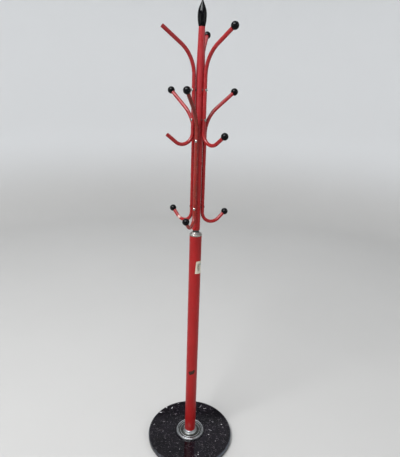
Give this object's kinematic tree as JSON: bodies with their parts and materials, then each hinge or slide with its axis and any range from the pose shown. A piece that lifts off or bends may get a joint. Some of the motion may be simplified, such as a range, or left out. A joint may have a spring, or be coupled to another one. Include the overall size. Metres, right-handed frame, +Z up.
{
  "type": "revolving coat stand",
  "caption": "Revolving coat stand: polished round stone base, tubular post and a turning column with staggered bent-tube hook arms, ball knobs and a pointed finial.",
  "frame": {"origin": "on the floor, on the post's axis, at the lowest face of the pads", "axes": "+Z up along the post; -Y towards the side on which the front lower arm stands"},
  "size_m": [0.3669, 0.367, 1.734],
  "materials": {
    "black_marble": "polished",
    "rubber_pads": "matte",
    "plain_steel": "bare",
    "chrome_trim": "bright plated, lightly tarnished",
    "chrome_screws": "bright plated",
    "red_post": "semi-gloss enamel",
    "red_column": "semi-gloss enamel",
    "red_arms": "semi-gloss enamel",
    "black_gloss": "gloss",
    "dark_nylon": "satin",
    "cream_paper": "matte"
  },
  "bodies": {
    "base": {"base_pads": "rubber_pads", "base_slab": "black_marble", "clamp_washer": "plain_steel", "clamp_bolt": "plain_steel", "base_flange": "chrome_trim", "post_foot_ring": "chrome_trim", "lower_post": "red_post", "post_foot_plug": "plain_steel", "post_top_plug": "plain_steel", "swivel_collar": "chrome_trim", "neck_bush": "dark_nylon", "thrust_washer": "plain_steel", "spindle": "plain_steel", "spindle_clip": "plain_steel", "paper_label": "cream_paper"},
    "head": {"column_low_bush": "dark_nylon", "column_top_bush": "dark_nylon", "column_tube": "red_column", "finial": "black_gloss", "upper_arm_left": "red_arms", "upper_arm_right": "red_arms", "upper_arm_rear": "red_arms", "lower_arm_left": "red_arms", "lower_arm_front": "red_arms", "lower_arm_right": "red_arms", "upper_left_screws": "chrome_screws", "upper_right_screws": "chrome_screws", "upper_rear_screws": "chrome_screws", "lower_left_screws": "chrome_screws", "lower_front_screws": "chrome_screws", "lower_right_screws": "chrome_screws", "upper_left_spacers": "dark_nylon", "upper_right_spacers": "dark_nylon", "upper_rear_spacers": "dark_nylon", "lower_left_spacers": "dark_nylon", "lower_front_spacers": "dark_nylon", "lower_right_spacers": "dark_nylon", "upper_right_branch_knob": "black_gloss", "upper_right_hook_knob": "black_gloss", "upper_rear_branch_knob": "black_gloss", "upper_rear_hook_knob": "black_gloss", "lower_left_branch_knob": "black_gloss", "lower_left_hook_knob": "black_gloss", "lower_front_branch_knob": "black_gloss", "lower_front_hook_knob": "black_gloss", "lower_right_branch_knob": "black_gloss", "lower_right_hook_knob": "black_gloss"}
  },
  "joints": [
    {"name": "head_turn", "type": "hinge", "parent": "base", "child": "head", "pos_m": [0, 0, 0.9708], "axis": [0, 0, 1], "continuous": true}
  ]
}
